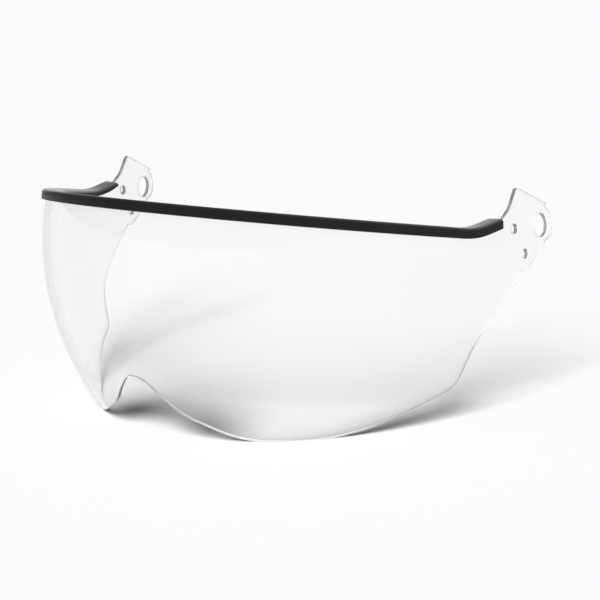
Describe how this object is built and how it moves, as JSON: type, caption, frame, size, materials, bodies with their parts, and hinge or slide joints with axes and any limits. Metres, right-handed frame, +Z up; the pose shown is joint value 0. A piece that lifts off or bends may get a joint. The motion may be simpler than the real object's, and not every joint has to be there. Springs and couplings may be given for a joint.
{
  "type": "helmet_visor",
  "caption": "Clear moulded half-face visor for a safety helmet, with a nose notch, flat drilled ears and a black rubber brow seal.",
  "frame": {"origin": "centre of the bottom of the bounding box, on the surface that the two lobes stand on", "axes": "+X to the wearer's left, +Y to the rear, towards the ears, +Z up"},
  "size_m": [0.2, 0.139, 0.0881],
  "materials": {
    "clear_lens": "clear polished polycarbonate",
    "seal_rubber": "soft black extruded rubber, satin"
  },
  "bodies": {
    "root": {"lens": "clear_lens", "brow_seal": "seal_rubber"}
  },
  "joints": []
}
